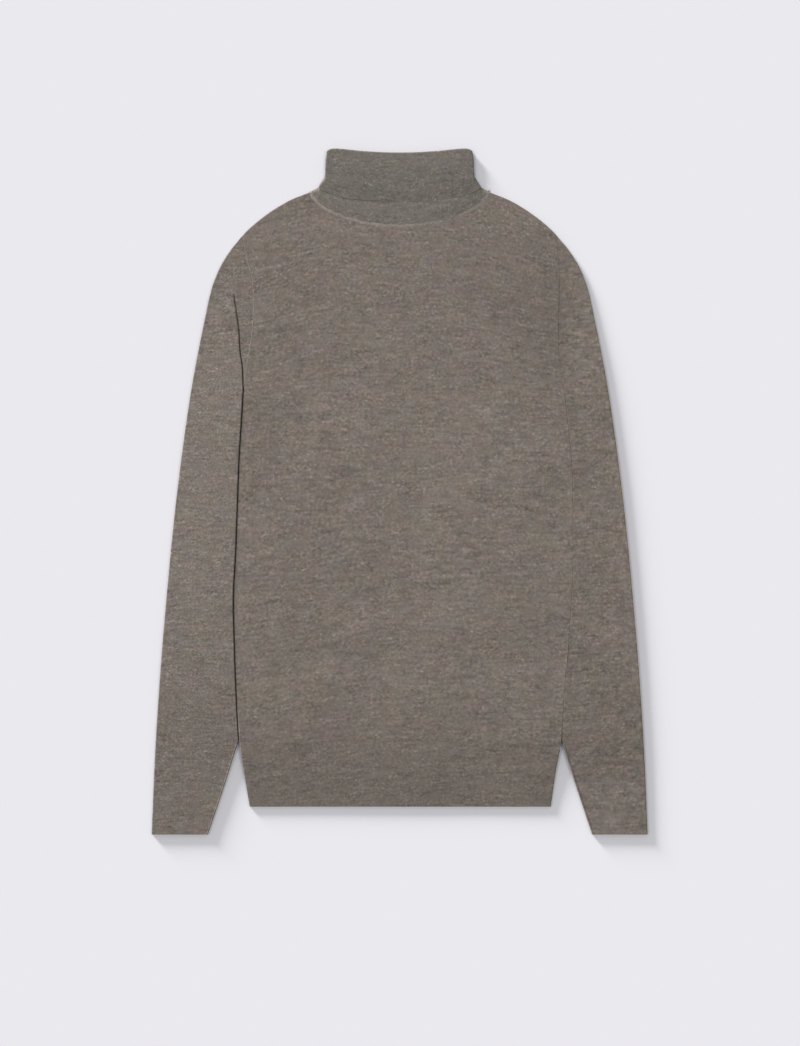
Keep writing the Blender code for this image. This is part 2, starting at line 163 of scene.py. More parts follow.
EDGE_WAVE = 0.35  # unevenness of the turnover's lower edge
EDGE_WAVES = ((7.3, 0), (4.1, 1), (17, 2))  # length over 2 pi, and phase
EDGE_WAVE_SHARES = (0.3, 0.7, 1)  # of its last rings
# On the wearer's left that edge lies deeper, is thinner and looks lighter.
EDGE_PRESS = (0.10, 0.06)
EDGE_LIGHTENING = 0.08
PRESS_STARTS_X = -42
PRESS_WIDTH = 46
PRESS_RINGS = 8

# ---- sizes of the looks
# Heights of a sleeve's top: at its outer edge, and beside the body. From the left underarm
# up it lies a little lower than the body.
SLEEVE_HEIGHTS = dict(columns=("y", "left_edge", "right_edge", "left", "right"), rows=(
    (-387.4, 4.5, 4.5, 4.5, 4.5),
    (-328.3, 4.8, 4.8, 4.8, 4.8),
    (-305, 4.9, 4.9, 5.8, 5.6),
    (-283.1, 5.1, 5.1, 6.7, 6.6),
    (-262, 5.2, 5.2, 7.2, 7.3),
    (-230, 5.3, 5.3, 7.3, 8),
    (-185, 5.4, 5.4, 7.3, 8.3),
    (85, 5.4, 5.4, 7.3, 8.3),
    (112, 5.4, 5.4, 7.1, 7.8),
    (150, 5.2, 5.3, 5.65, 6.6),
    (190, 4.6, 5.1, 4.35, 5.4),
    (223, 4, 4.8, 3.45, 4.6),
    (250, 3.7, 4.3, 3.4, 4.3),
    (288.9, 3.6, 3.6, 3.6, 3.6),
))
# Middle of the slot above the underarm; on the left it is shut and runs along the seam.
SLOT = dict(columns=SIDE_COLUMNS, rows=(
    (117, 185.5, 176.5),
    (137, 181, 177.2),
    (160, 178, 180.2),
    (182.5, 177.7, 181.6),
    (200, 178, 184),
    (223, 178.6, 186.7),
    (250, 178.9, 187),
    (272, 178.5, 182.4),
    (288.9, 177.2, 177.2),
))
CROWN_FALL = {LEFT: 1, RIGHT: 1.3}  # the higher, the later it falls to its outer edge
SLOT_WIDTH = {LEFT: 0.02, RIGHT: 1}
SLOT_TOP_Y = {LEFT: 268, RIGHT: 225}
SLOT_RAMP = {LEFT: 20, RIGHT: 12}
SLOT_DEPTH = {LEFT: 0, RIGHT: 4.2}
SLEEVE_ENDS = 1  # the sleeve ends this far below the shoulder seam's lower end
SLOT_FLOOR = 1.6  # the slot goes down to this many layers
SLOT_STEP = 0.8  # spacing of the points at the slot's upper end
SLOT_CORNER = 0.1  # its corners' points stand off by this share
TUCKED_TOP = {LEFT: 3.3, RIGHT: 2.7}
FOLD_ROOM = 0.15  # least room of the tucked fold before the sleeve's wall
FOLD_SHARE = 0.75  # the fold takes at most this share of it
RIM_SHARE = 0.6  # the same for the outer edge's bend
WALL_SHARE = 0.2  # and for the bend at the top of the wall
WALL_MARGIN = 0.1  # the wall stays this far inside the rim
LIP_ROUND = {LEFT: 0.5, RIGHT: 0.3}  # radii beside the slot: of the strip inside it,
WALL_ROUND = {LEFT: 0.02, RIGHT: 0.12}  # of the sleeve's wall
FOLD_ROUND = {LEFT: 0.02, RIGHT: 0.6}  # and of the body's folded edge
EDGE_ROUND = 0.3  # the same of edges that lie free, seen from above
FREE_FOLD_Y = (-283, -300)  # from here down the body's edge lies free and is rounder
ARMHOLE_OPENS = 5  # the sides turn into the armholes over this height
LIFT_REACH = 120  # the body's sides rise over this width
LIFT_ENDS_Y = -355.8
FRONT_LIFT_Y = (226, 100)  # the front rises here, over the sleeve's fold
BACK_LIFT_Y = (117, 68)
TUCK_FREE_Y = (-274, -286)  # the sleeve's inner edge comes out from under the body

# Soft ridges and troughs that the hands left: x and y of the middle, direction, half
# length, half width and height.
FRONT_CREASES = (
    (30, 240, 88, 24, 8, 0.3),
    (76, 240, -15, 42, 8, 0.3),
    (100, 190, -8, 70, 22, -0.4),
    (5, 150, -3, 50, 16, 0.25),
    (-60, 75, 5, 50, 30, 0.55),
    (50, 55, 0, 32, 22, 0.3),
    (142, 30, 10, 32, 20, 0.3),
    (-84, -62, 83, 95, 4, -0.1),
    (-37, -109, -30, 22, 7, 0.25),
    (23, -143, -27, 26, 7, 0.3),
    (-80, -213, 0, 34, 10, 0.2),
    (-212, 103, 80, 50, 20, 0.3),
    (226, -315, 20, 25, 12, -0.3),
    (-115, 225, 35, 60, 16, 0.25),
)
# Painted light and shade: places painted lighter or darker, and by what share in place of the
# height.
FRONT_PAINTED_SHADING = (
    (-90, 285, 25, 45, 28, 0.03),
    (90, 284, -12, 60, 14, -0.03),
    (105, 195, -8, 65, 28, -0.03),
    (0, 143, 0, 30, 12, 0.03),
    (-67, 85, 10, 45, 35, 0.035),
    (46, 64, 0, 25, 22, 0.03),
    (142, 36, 0, 25, 20, 0.03),
    (30, 243, 88, 26, 6, 0.04),
    (76, 238, -14, 40, 6, 0.035),
    (138, 230, 80, 60, 30, -0.06),
    (168, 150, 88, 130, 22, -0.03),
    (165, -120, 88, 150, 18, -0.02),
    (132, -105, 86, 170, 46, -0.045),
    (-118, -255, 70, 60, 40, 0.03),
    (-150, -325, 0, 45, 30, 0.05),
    (150, -325, 0, 35, 30, 0.04),
    (213, 103, 80, 45, 16, 0.04),
    (-203, 98, 80, 70, 18, 0.025),
    (240, -280, 80, 50, 20, -0.02),
    (30, -338, 0, 80, 16, -0.03),
    (158, 170, 88, 120, 30, -0.09),
    (85, -55, 88, 160, 42, -0.075),
    (-62, 86, 0, 50, 38, 0.085),
    (-135, -281, 20, 50, 42, 0.08),
    (218, -111, 85, 75, 24, -0.08),
    (-260, -179, 80, 60, 15, -0.04),
    (-192, 75, 85, 30, 15, 0.07),
    (-158, 126, 88, 24, 14, -0.06),
    (-192, 240, 85, 28, 13, 0.06),
    (145, 160, 0, 40, 24, -0.08),
    (75, -178, 0, 75, 30, -0.05),
    (-157, -25, 88, 30, 14, -0.06),
    (181, -225, 91, 50, 10, 0.06),
    (-142, -318, 0, 30, 16, 0.08),
    (186, 190, 86, 80, 20, -0.07),
    (34, 205, 0, 40, 18, 0.04),
)
BACK_CREASES = (
    (-60, 250, 25, 55, 12, 0.4),
    (70, 190, -20, 70, 14, 0.35),
    (0, 60, 4, 90, 18, 0.4),
    (-80, -90, 75, 60, 12, 0.35),
    (90, -180, -30, 50, 12, 0.35),
    (-228, -60, 70, 70, 12, 0.5),
    (232, -190, 80, 60, 12, 0.5),
)
COLLAR_CREASES = (
    (-77, 319.5, -27, 11, 2.6, -0.5),
    (28, 370, -35, 6, 3, -0.25),
    (-62, 358, 30, 18, 5, 0.15),
    (40, 345, 12, 30, 6, 0.12),
)

FINE = 3  # spacing of the points that show
COARSE = 4.5  # spacing of the points underneath
COLLAR_SPACING = 2.2
# Widths and lengths that these spacings are counted along.
PANEL_HALF = 180
SLEEVE_TOP = 62
SLEEVE_UNDER = 95
COLLAR_HALF = 90
STAND_LENGTH = 84
TURNOVER_LENGTH = 48
COLLAR_SPREAD = 0.9  # below 1 the collar's points close up towards its sides
CREST_TURN = (0.08, 0.92, 9)  # shares of a half turn, and number, of the top fold's rings
CREST_RISE = 6  # steps up to them
CREST_FALL = 8  # and down from them
CREST_CLOSE = 0.02  # with one ring this close
STRIP_STEPS = (0.88, 8)  # reach and number of steps over the strip inside the slot
BEND_STEPS = 6  # points round a folded edge
WALL_STEPS = 5  # points round the top of a wall beside the slot
PATH_STEPS = 801  # points along half of the neckline
ARMHOLE_STEPS = 200
SUPPORT = 0.3  # the next point stands this close to a bend and keeps it narrow,
STRIP_SUPPORT, TOP_SUPPORT = 0.1, 0.01  # on a sleeve by at most these shares of the way
SHARP = radians(55)  # edges that turn more than this stay crisp
TINY = 1e-5  # nothing shorter or smaller than this counts
LEAST = 0.01  # nothing in a sleeve counts below this
FAR = 1e3  # where there is no top edge
MITRE = 0.6  # a corner's points move out by at most 1 over this
NUDGE = 0.004  # points of a section are at least this far apart
SEAM_DIP = 0.06  # depth of the groove where two pieces of knit are joined
SEAM_REACH = 1.3
RUMPLE = 0.05  # height of the broadest unevenness
RUMPLE_WAVES = 9
RUMPLE_LENGTHS = (45, 170)
RUMPLE_SEED = 5
SLOPE_SOFTNESS = 0.3  # of a slope's ends

WALE = 1.7  # width of a stitch
COURSE = 1.25  # height of a stitch
LINK = 1.7  # length of one link of a linked seam
LINK_POINTS = 4
LINK_WAIST = 0.88  # size of a link at its ends
LINKS_PER_DRAW = 2.5  # size and place change at random over this many links
SIDE_TURN = 100  # from here out the knit runs on down the sides
FLECK_DEPTH = 3  # size of the flecks in height
# What sets the pieces' random patterns apart.
SEEDS = dict(body=10, hem=20, sleeve=40, collar=60, neck=71, armhole=80)
# The courses arch like the shoulders above the chest, and droop to the wearer's right below.
CHEST_Y = 40
BOW_SLOPE = 0.27
BOW_RISE = 190
BOW_STARTS_X = 55
BOW_TURN = 70  # over this width it turns into an even slant
DROOP_SLOPE = 0.12
DROOP_FALL = 150
DROOP_STARTS_X = -30
SLEEVE_COURSE_SLOPE = {LEFT: 0.06, RIGHT: -0.03}
SLEEVE_MIDDLE_X = 215
COLLAR_BOW = 7  # rise of the turnover's courses towards its sides
COLLAR_BOW_X = 75
NECK_CHAIN = (4.8, 0.16, 0.6)  # width and height of the neckline's linking, and least share
NECK_CHAIN_UP = 0.5  # its middle lies this far up from the neckline
NECK_CHAIN_RISE = 0.05  # and this far above the front
NECK_TILT = 0.06  # it rises with the collar's foot
ARMHOLE_CHAIN = (1.1, 0.4, 0.4)
ARMHOLE_CHAIN_ENDS = (4, 2)  # it stops this far from the underarm and from the shoulder
# Faces on which an armhole's linking shows.
ARMHOLE_LINKING = {LEFT: ((BACK, "back"),), RIGHT: ((FRONT, "front"), (BACK, "back"))}

FLOOR_COLOUR = (0.800, 0.792, 0.832)
BODY_COLOUR = (0.1760, 0.1480, 0.1275)
# The wearer's left sleeve is a little darker than the right: painted shade, as the light falls
# off towards that side.
SLEEVE_COLOUR = {LEFT: (0.1740, 0.1465, 0.1260), RIGHT: (0.1765, 0.1500, 0.1300)}
CUFF_COLOUR = {LEFT: (0.1880, 0.1600, 0.1385), RIGHT: (0.1860, 0.1585, 0.1365)}
COLLAR_COLOUR = (0.1640, 0.1470, 0.1275)
LINKING_COLOUR = (0.2450, 0.2125, 0.1875)
# Where the colour starts to darken and ends, and its share there. Painted shade down the body and
# the sleeves, towards the neckline, and along the collar's knit; across the neck's linking it is
# darker towards the wearer's left.
BODY_PAINTED_SHADE = (-190, -335, 0.80)
SLEEVE_PAINTED_SHADE = (-100, -330, 0.87)
NECK_PAINTED_SHADE = (-10, -3, 0.955)
TURNOVER_PAINTED_SHADE = (24, 40, 0.94)
STAND_PAINTED_SHADE = (9, 3.5, 0.93)
LINKING_FADE = (-30, 30, 0.88)

# Size of the sleeves' flecks and streaks, their contrast, and how patchy they are.
SLEEVE_MELANGE = {LEFT: ((3.3, 3.1), 0.97, 1.3), RIGHT: ((2.4, 2.2), 1.15, 0.5)}
SLEEVE_STREAK = (16, 3.2)
CUFF_CONTRAST = 0.92  # share of the sleeve's
# Noise of the knit: size of its cells along and across the courses, detail and shift.
NOISE = dict(
    stitch=((6.0, 6.0), 1.0, 23.7),
    clump=((12.0, 9.0), 1.0, 43.9),
    blotch=((60.0, 42.0), 2.0, 57.3),
    spark=((3.0, 2.2), 0.0, 5.7),
    busy=((17.0, 12.0), 1.0, 33.3),
    warm=((18.0, 16.0), 2.0, 71.9),
    green=((17.0, 15.0), 2.0, 91.3),
    nap_and_painted_shading=((0.9, 0.7), 2.0, 3.3),
)
STREAK_SHIFT = 13.1
# Shares of that noise in the lightness, the tint and the bump's height.
FLECK_SHARE, STREAK_SHARE = 1.05, 0.60
CLUMP_SHARE, BLOTCH_SHARE = 0.48, 0.32
BUSY_SHARE, SQUARE_SHARE = 2, 0.5  # the square makes light flecks stand out
SPARK_FROM, SPARK_SHARE = 0.16, 2.6
TINTS = dict(warm=(0.15, 0, -0.15), green=(-0.11, 0.11, -0.11))
RELIEF = dict(stitches=0.25, nap_and_painted_shading=0.5, fleck=0.65, streak=0.5)
UNEVEN_WALE, UNEVEN_COURSE = 1.1, -1.6  # the stitches stray by this much
LEG_SLANT = 0.9
BUMP_STRENGTH = 0.8
BUMP_DISTANCE = 0.25
KNIT_SHADER = {"Roughness": 0.9, "Specular IOR Level": 0.25,
               "Sheen Weight": 0.12, "Sheen Roughness": 0.5}
PLAIN_SHADER = {"Roughness": 1, "Specular IOR Level": 0}
SKY_STRENGTH = 0.45
FLOOR_SIZE = 60  # metres

# ---- the picture's framing
PICTURE_PIXELS = (800, 1046)
MM_PER_PIXEL = 1.13
ORIGIN_PIXEL = (399.6, 491.5)
CAMERA_DISTANCE = 3.2  # metres
SENSOR = 36


# ---- small tools
def column(table, name):
    """One named column of a table."""
    place = table["columns"].index(name)
    return np.array([row[place] for row in table["rows"]], float)


def smooth(table, along, name, at):
    """Read a column at any places with a cubic that never overshoots its rows."""
    xs = column(table, along)
    ys = column(table, name)
    at = np.clip(np.asarray(at, float), xs[0], xs[-1])
    slopes = np.diff(ys) / np.diff(xs)
    before, after = slopes[:-1], slopes[1:]
    same = before * after > 0
    inner = np.where(same, 2 * before * after / np.where(same, before + after, 1.0), 0.0)
    tangents = np.concatenate([slopes[:1], inner, slopes[-1:]])
    i = np.clip(np.searchsorted(xs, at, side="right") - 1, 0, len(xs) - 2)
    span = xs[i + 1] - xs[i]
    t = (at - xs[i]) / span
    value = ys[i] * (1 + 2 * t) * (1 - t) ** 2 + ys[i + 1] * t * t * (3 - 2 * t)
    return value + span * (tangents[i] * t * (1 - t) ** 2 - tangents[i + 1] * t * t * (1 - t))


def ease(t):
    """Rise smoothly from 0 to 1."""
    t = np.clip(t, 0.0, 1.0)
    return t * t * (3 - 2 * t)


def mix(a, b, t):
    return a + (b - a) * t


def slope(t):
    """Rise from 0 to 1 nearly evenly, with soft ends."""
    return mix(np.clip(t, 0.0, 1.0), ease(t), SLOPE_SOFTNESS)


def fade(value, start, end, share):
    """1 up to start, falling smoothly to a share at end."""
    return mix(1.0, share, ease((value - start) / (end - start)))


def seam_levels(start, end, spacing):
    """Places up from start to end at an even spacing, with more close to the seams there."""
    places = list(np.linspace(start, end, max(2, round((end - start) / spacing) + 1)))
    for offset in (SEAM_REACH / 2, SEAM_REACH):
        places += [start + offset, end - offset]
    return np.array(sorted(set(np.round(places, 4))))


def quarter():
    """Shares in and up round a quarter turn, from its side to its top."""
    angles = np.linspace(0, pi / 2, BEND_STEPS)
    return 1 - np.cos(angles), np.sin(angles)


def add_object(name, data):
    made = bpy.data.objects.new(name, data)
    bpy.context.scene.collection.objects.link(made)
    return made


# ---- the flat layout
def at_side(table, side, y, part=""):
    """Read one side's column, or a part of it, of a table at heights Y."""
    return smooth(table, "y", SIDE_NAMES[side] + part, y)


def outline(y):
    return smooth(OUTLINE, "y", "x", y)


def tucked_edge(side, y):
    """Inner edge of a sleeve; just below the underarm it meets the body's side."""
    edge = at_side(INNER_EDGE, side, y)
    return np.where(y > 0, np.minimum(edge, at_side(BODY_SIDE, side, y)), edge)


def slot_middle(side, y):
    """Middle of the gap between body and sleeve, and of the fold above it."""
    above = at_side(SLOT, side, y)
    return np.where(y > UNDERARM_Y, above, at_side(BODY_SIDE, side, y) + SLOT_WIDTH[side] / 2)


def edge_lift(side, ax, y):
    """Share of the lift that the body gets from the sleeve under its side."""
    edge = at_side(INNER_EDGE, side, y)
    near = slope((ax - edge + LIFT_MARGIN) / LIFT_REACH + 1)
    return near * slope((y - LIFT_ENDS_Y) / (LIFT_FADES_Y - LIFT_ENDS_Y))


def front_lift(side, ax, y):
    start, full = FRONT_LIFT_Y
    return LIFT * edge_lift(side, ax, y) * slope((start - y) / (start - full))


def back_lift(side, ax, y):
    start, full = BACK_LIFT_Y
    return LIFT * edge_lift(side, ax, y) * ease((start - y) / (start - full))


def creases(x, y, table):
    """Soft ridges and troughs of a table."""
    total = np.zeros(np.broadcast(x, y).shape)
    for crease_x, crease_y, angle, length, width, height in table:
        a = radians(angle)
        along = (x - crease_x) * cos(a) + (y - crease_y) * sin(a)
        across = (y - crease_y) * cos(a) - (x - crease_x) * sin(a)
        total += height * np.exp(-(along / length) ** 2 - (across / width) ** 2)
    return total


def rumples(x, y, seed):
    """Shallow unevenness of cloth that has been smoothed out by hand."""
    waves = np.random.default_rng(seed)
    total = np.zeros(np.broadcast(x, y).shape)
    for _ in range(RUMPLE_WAVES):
        length = waves.uniform(*RUMPLE_LENGTHS)
        angle = waves.uniform(0, pi)
        phase = waves.uniform(0, 2 * pi)
        along = (x * cos(angle) + y * sin(angle)) / length
        total += np.sin(2 * pi * along + phase) * RUMPLE * length / RUMPLE_LENGTHS[1]
    return total


def front_relief(x, y):
    return rumples(x, y, RUMPLE_SEED) + creases(x, y, FRONT_CREASES)


def back_relief(x, y):
    """The underside keeps on the surface but for its creases, which arch up off it."""
    return creases(x, y, BACK_CREASES)


def nap_and_painted_shading(x, y, shade_ramp, shown):
    """Lightness of the painted shading: darker down the piece, with painted lighter and darker
    places on the shown side.
    """
    return fade(y, *shade_ramp) * (1 + shown * creases(x, y, FRONT_PAINTED_SHADING))


# ---- courses of the knit
def body_courses(x, y):
    """Places along and across the courses of the body's knit."""
    steepness = BOW_SLOPE * ease((y - CHEST_Y) / BOW_RISE)
    past = np.maximum(np.abs(x) - BOW_STARTS_X, 0)
    bow = np.where(past < BOW_TURN, past ** 2 / (2 * BOW_TURN), past - BOW_TURN / 2)
    droop = DROOP_SLOPE * ease((CHEST_Y - y) / DROOP_FALL) * np.minimum(x - DROOP_STARTS_X, 0)
    return x, y + steepness * bow - droop


def sleeve_courses(side, x, y):
    return x, y - SLEEVE_COURSE_SLOPE[side] * (x - SLEEVE_MIDDLE_X)


def collar_courses(x, v):
    return x, v + COLLAR_BOW * (1 - np.cos(np.clip(x / COLLAR_BOW_X, -1, 1) * pi)) / 2


# ---- materials
class Graph:
    """Adds nodes to a material's tree and links them."""

    def __init__(self, tree):
        self.tree = tree

    def plug(self, socket, value):
        if isinstance(value, bpy.types.NodeSocket):
            self.tree.links.new(value, socket)
        elif value is not None:
            socket.default_value = value

    def math(self, operation, a, b=None, c=None):
        node = self.tree.nodes.new("ShaderNodeMath")
        node.operation = operation
        for socket, value in zip(node.inputs, (a, b, c)):
            self.plug(socket, value)
        return node.outputs[0]

    def vector(self, operation, a, b=None, scale=None):
        node = self.tree.nodes.new("ShaderNodeVectorMath")
        node.operation = operation
        self.plug(node.inputs[0], a)
        self.plug(node.inputs[1], b)
        if scale is not None:
            self.plug(node.inputs["Scale"], scale)
        return node.outputs["Vector"]

    def split(self, vector):
        node = self.tree.nodes.new("ShaderNodeSeparateXYZ")
        self.plug(node.inputs[0], vector)
        return node.outputs

    def noise(self, place, size, detail=1.0, shift=0.0):
        """Noise with cells of a size in millimetres, centred on 0."""
        node = self.tree.nodes.new("ShaderNodeTexNoise")
        stretched = self.vector("MULTIPLY", place, (1 / size[0], 1 / size[1], 1.0))
        self.plug(node.inputs["Vector"], self.vector("ADD", stretched, (shift, shift, shift)))
        node.inputs["Scale"].default_value = 1.0
        node.inputs["Detail"].default_value = detail
        return self.math("SUBTRACT", node.outputs["Fac"], 0.5)

    def attribute(self, name):
        node = self.tree.nodes.new("ShaderNodeAttribute")
        node.attribute_name = name
        return node.outputs

    def total(self, terms):
        """Sum of value times weight over a list of pairs."""
        result = None
        for value, weight in terms:
            if result is None:
                result = self.math("MULTIPLY", value, weight)
            else:
                result = self.math("MULTIPLY_ADD", value, weight, result)
        return result


def stitches(graph, place):
    """Height of the stitches: two slanting legs in each wale, a little unevenly set."""
    u, v, _ = graph.split(place)
    uneven = graph.noise(place, *NOISE["stitch"])
    wale = graph.math("MULTIPLY_ADD", uneven, UNEVEN_WALE, graph.math("DIVIDE", u, WALE))
    course = graph.math("MULTIPLY_ADD", uneven, UNEVEN_COURSE, graph.math("DIVIDE", v, COURSE))
    across = graph.math("MULTIPLY", graph.math("PINGPONG", wale, 0.5), 2.0)
    phase = graph.math("MULTIPLY_ADD", across, LEG_SLANT, course)
    leg = graph.math("SINE", graph.math("MULTIPLY", across, pi))
    bead = graph.math("ABSOLUTE", graph.math("SINE", graph.math("MULTIPLY", phase, pi)))
    return graph.math("MULTIPLY", leg, graph.math("MULTIPLY_ADD", bead, 0.5, 0.5))


def new_material(name, settings):
    """A material with nodes, and its shader with the settings."""
    material = bpy.data.materials.new(name)
    material.use_nodes = True
    shader = material.node_tree.nodes["Principled BSDF"]
    for setting, value in settings.items():
        shader.inputs[setting].default_value = value
    return material, shader


def knit_material(name, colour, fleck_size, streak_size, contrast, hue=1.0, patchy=1.0,
                  stitched=1.0):
    """Melange knit: short flecks along the courses, soft blotches, stitches, nap, and the painted
    light and shade that each piece carries.
    """
    material, shader = new_material(name, KNIT_SHADER)
    tree = material.node_tree
    graph = Graph(tree)
    place = graph.attribute("knit")["Vector"]

    fleck = graph.noise(place, fleck_size)
    streak = graph.noise(place, streak_size, shift=STREAK_SHIFT)
    clump = graph.noise(place, *NOISE["clump"])
    blotch = graph.noise(place, *NOISE["blotch"])
    spark = graph.noise(place, *NOISE["spark"])
    busy = graph.math("MULTIPLY_ADD", graph.noise(place, *NOISE["busy"]), BUSY_SHARE, 1.0)
    fine = graph.total([(fleck, FLECK_SHARE * contrast), (streak, STREAK_SHARE * contrast)])
    busy_fine = graph.math("MULTIPLY", fine, busy)
    tone = graph.total([
        (busy_fine, 1.0),
        (graph.math("MULTIPLY", busy_fine, busy_fine), SQUARE_SHARE),
        (clump, CLUMP_SHARE * contrast * patchy),
        (blotch, BLOTCH_SHARE * contrast * patchy),
        (graph.math("MAXIMUM", graph.math("SUBTRACT", spark, SPARK_FROM), 0.0), SPARK_SHARE),
    ])
    # The pieces' painted light and shade scales the knit's brightness.
    shade = graph.attribute("nap_and_painted_shading")["Fac"]
    brightness = graph.math("MULTIPLY", graph.math("ADD", tone, 1.0), shade)
    tints = []
    for noise, hues in TINTS.items():
        weights = tuple(part * hue for part in hues)
        tints.append(graph.vector("SCALE", weights, scale=graph.noise(place, *NOISE[noise])))
    tint = graph.vector("ADD", graph.vector("ADD", *tints), (1.0, 1.0, 1.0))
    shaded = graph.vector("SCALE", tint, scale=brightness)
    graph.plug(shader.inputs["Base Color"], graph.vector("MULTIPLY", shaded, colour))

    height = graph.total([
        (stitches(graph, place), RELIEF["stitches"] * stitched),
        (graph.noise(place, *NOISE["nap_and_painted_shading"]), RELIEF["nap_and_painted_shading"]),
        (fleck, RELIEF["fleck"]),
        (streak, RELIEF["streak"]),
    ])
    bump = tree.nodes.new("ShaderNodeBump")
    bump.inputs["Strength"].default_value = BUMP_STRENGTH
    bump.inputs["Distance"].default_value = BUMP_DISTANCE * MM
    graph.plug(bump.inputs["Height"], height)
    graph.plug(shader.inputs["Normal"], bump.outputs["Normal"])
    material.diffuse_color = (*colour, 1.0)
    return material


def plain_material(name, colour):
    return new_material(name, {"Base Color": (*colour, 1.0), **PLAIN_SHADER})[0]


# ---- meshes and pieces
def grid_faces(rows, columns, closed=False, skip=None):
    """Quads of a grid of points, stored row after row."""
    last = columns if closed else columns - 1
    r, c = np.indices((rows - 1, last)).reshape(2, -1)
    if skip is not None:
        keep = ~skip(r, c)
        r, c = r[keep], c[keep]
    after = (c + 1) % columns
    here, above = r * columns, (r + 1) * columns
    return np.stack([here + c, here + after, above + after, above + c], 1)


def thicken(points, faces, half):
    """Both faces of a layer round a sheet of points, at half its thickness, and its rim."""
    corners = points[faces]
    normal = np.cross(corners[:, 2] - corners[:, 0], corners[:, 3] - corners[:, 1])
    size = np.linalg.norm(normal, axis=1, keepdims=True)
    normal = np.where(size > TINY, normal / np.maximum(size, TINY), 0.0)
    ahead = np.roll(corners, -1, 1) - corners
    behind = np.roll(corners, 1, 1) - corners
    lengths = np.linalg.norm(ahead, axis=2) * np.linalg.norm(behind, axis=2)
    cosine = (ahead * behind).sum(2) / np.maximum(lengths, TINY)
    angle = np.arccos(np.clip(cosine, -1, 1)) * (size > TINY)
    sums = np.zeros(points.shape)
    for k in range(4):
        np.add.at(sums, faces[:, k], normal * angle[:, k:k + 1])
    unit = sums / np.maximum(np.linalg.norm(sums, axis=1, keepdims=True), TINY)
    fit, weight = np.zeros(len(points)), np.full(len(points), TINY)
    for k in range(4):
        np.add.at(fit, faces[:, k], angle[:, k] * (normal * unit[faces[:, k]]).sum(1))
        np.add.at(weight, faces[:, k], angle[:, k])
    offset = unit * (half / np.clip(fit / weight, MITRE, 1))[:, None]
    count = len(points)
    starts, ends = faces.ravel(), np.roll(faces, -1, 1).ravel()
    rim = ~np.isin(starts * count + ends, ends * count + starts)
    starts, ends = starts[rim], ends[rim]
    walls = np.stack([ends, starts, starts + count, ends + count], 1)
    return (np.concatenate([points + offset, points - offset]),
            np.concatenate([faces, faces[:, ::-1] + count, walls]))


def make_piece(name, points, knit, seed, faces, material, stands_for=(), flip=False,
               half=KNIT / 2, nap_and_painted_shading=1.0):
    """Make a layer of knit from the points of the sheet in its middle.

    Where half is 0 the points are the piece's surface. knit is the place along and across
    the courses, and seed sets the piece's pattern apart from the others'.
    """
    half, nap_and_painted_shading = [np.broadcast_to(value, points[0].shape).ravel() for value in (half, nap_and_painted_shading)]
    x, _, z = points
    u, v = knit
    knit = (u - z * np.clip(x / SIDE_TURN, -1, 1), v, seed + z / FLECK_DEPTH)
    points = np.stack([np.ravel(a) for a in np.broadcast_arrays(*points)], 1)
    knit = np.stack([np.ravel(a) for a in np.broadcast_arrays(*knit)], 1)
    used, faces = np.unique(faces, return_inverse=True)
    faces = faces.reshape(-1, 4)
    if flip:
        faces = faces[:, ::-1]
    points, knit, half, nap_and_painted_shading = points[used], knit[used], half[used], nap_and_painted_shading[used]
    if half.any():
        points, faces = thicken(points, faces, half)
        knit, nap_and_painted_shading = np.concatenate([knit, knit]), np.concatenate([nap_and_painted_shading, nap_and_painted_shading])
    points[:, 2] = np.maximum(points[:, 2], 0.0)
    mesh = bpy.data.meshes.new(name)
    mesh.from_pydata((points * MM).tolist(), [], faces.tolist())
    place = mesh.attributes.new("knit", "FLOAT_VECTOR", "POINT")
    place.data.foreach_set("vector", knit.astype(np.float32).ravel())
    # Painted light and shade per point, for the knit's colour.
    lightness = mesh.attributes.new("nap_and_painted_shading", "FLOAT", "POINT")
    lightness.data.foreach_set("value", nap_and_painted_shading.astype(np.float32))
    mesh.materials.append(material)
    mesh.shade_smooth()
    mesh.set_sharp_from_angle(angle=SHARP)
    piece = add_object(name, mesh)
    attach(piece, "root")
    if stands_for:
        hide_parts(*stands_for)
    return piece


# ---- body panels
def fold_round(side, y):
    """Radius, seen from above, of the body's folded edge."""
    free = ease((FREE_FOLD_Y[0] - y) / (FREE_FOLD_Y[0] - FREE_FOLD_Y[1]))
    return mix(FOLD_ROUND[side], EDGE_ROUND, free)


def neckline(x, middle_y):
    q = np.minimum(np.abs(x) / NECK_X, 1.0)
    return middle_y + (NECK_Y - middle_y) * (1 - (1 - q * q) ** NECK_CURVE)


def top_edge(x, middle_y):
    """Upper edge of the front or back: the neckline, then the shoulder seam."""
    ax = np.abs(x)
    shoulder = smooth(SHOULDER, "x", "y", ax) - KNIT / 2
    return np.where(ax <= NECK_X, neckline(x, middle_y), shoulder)


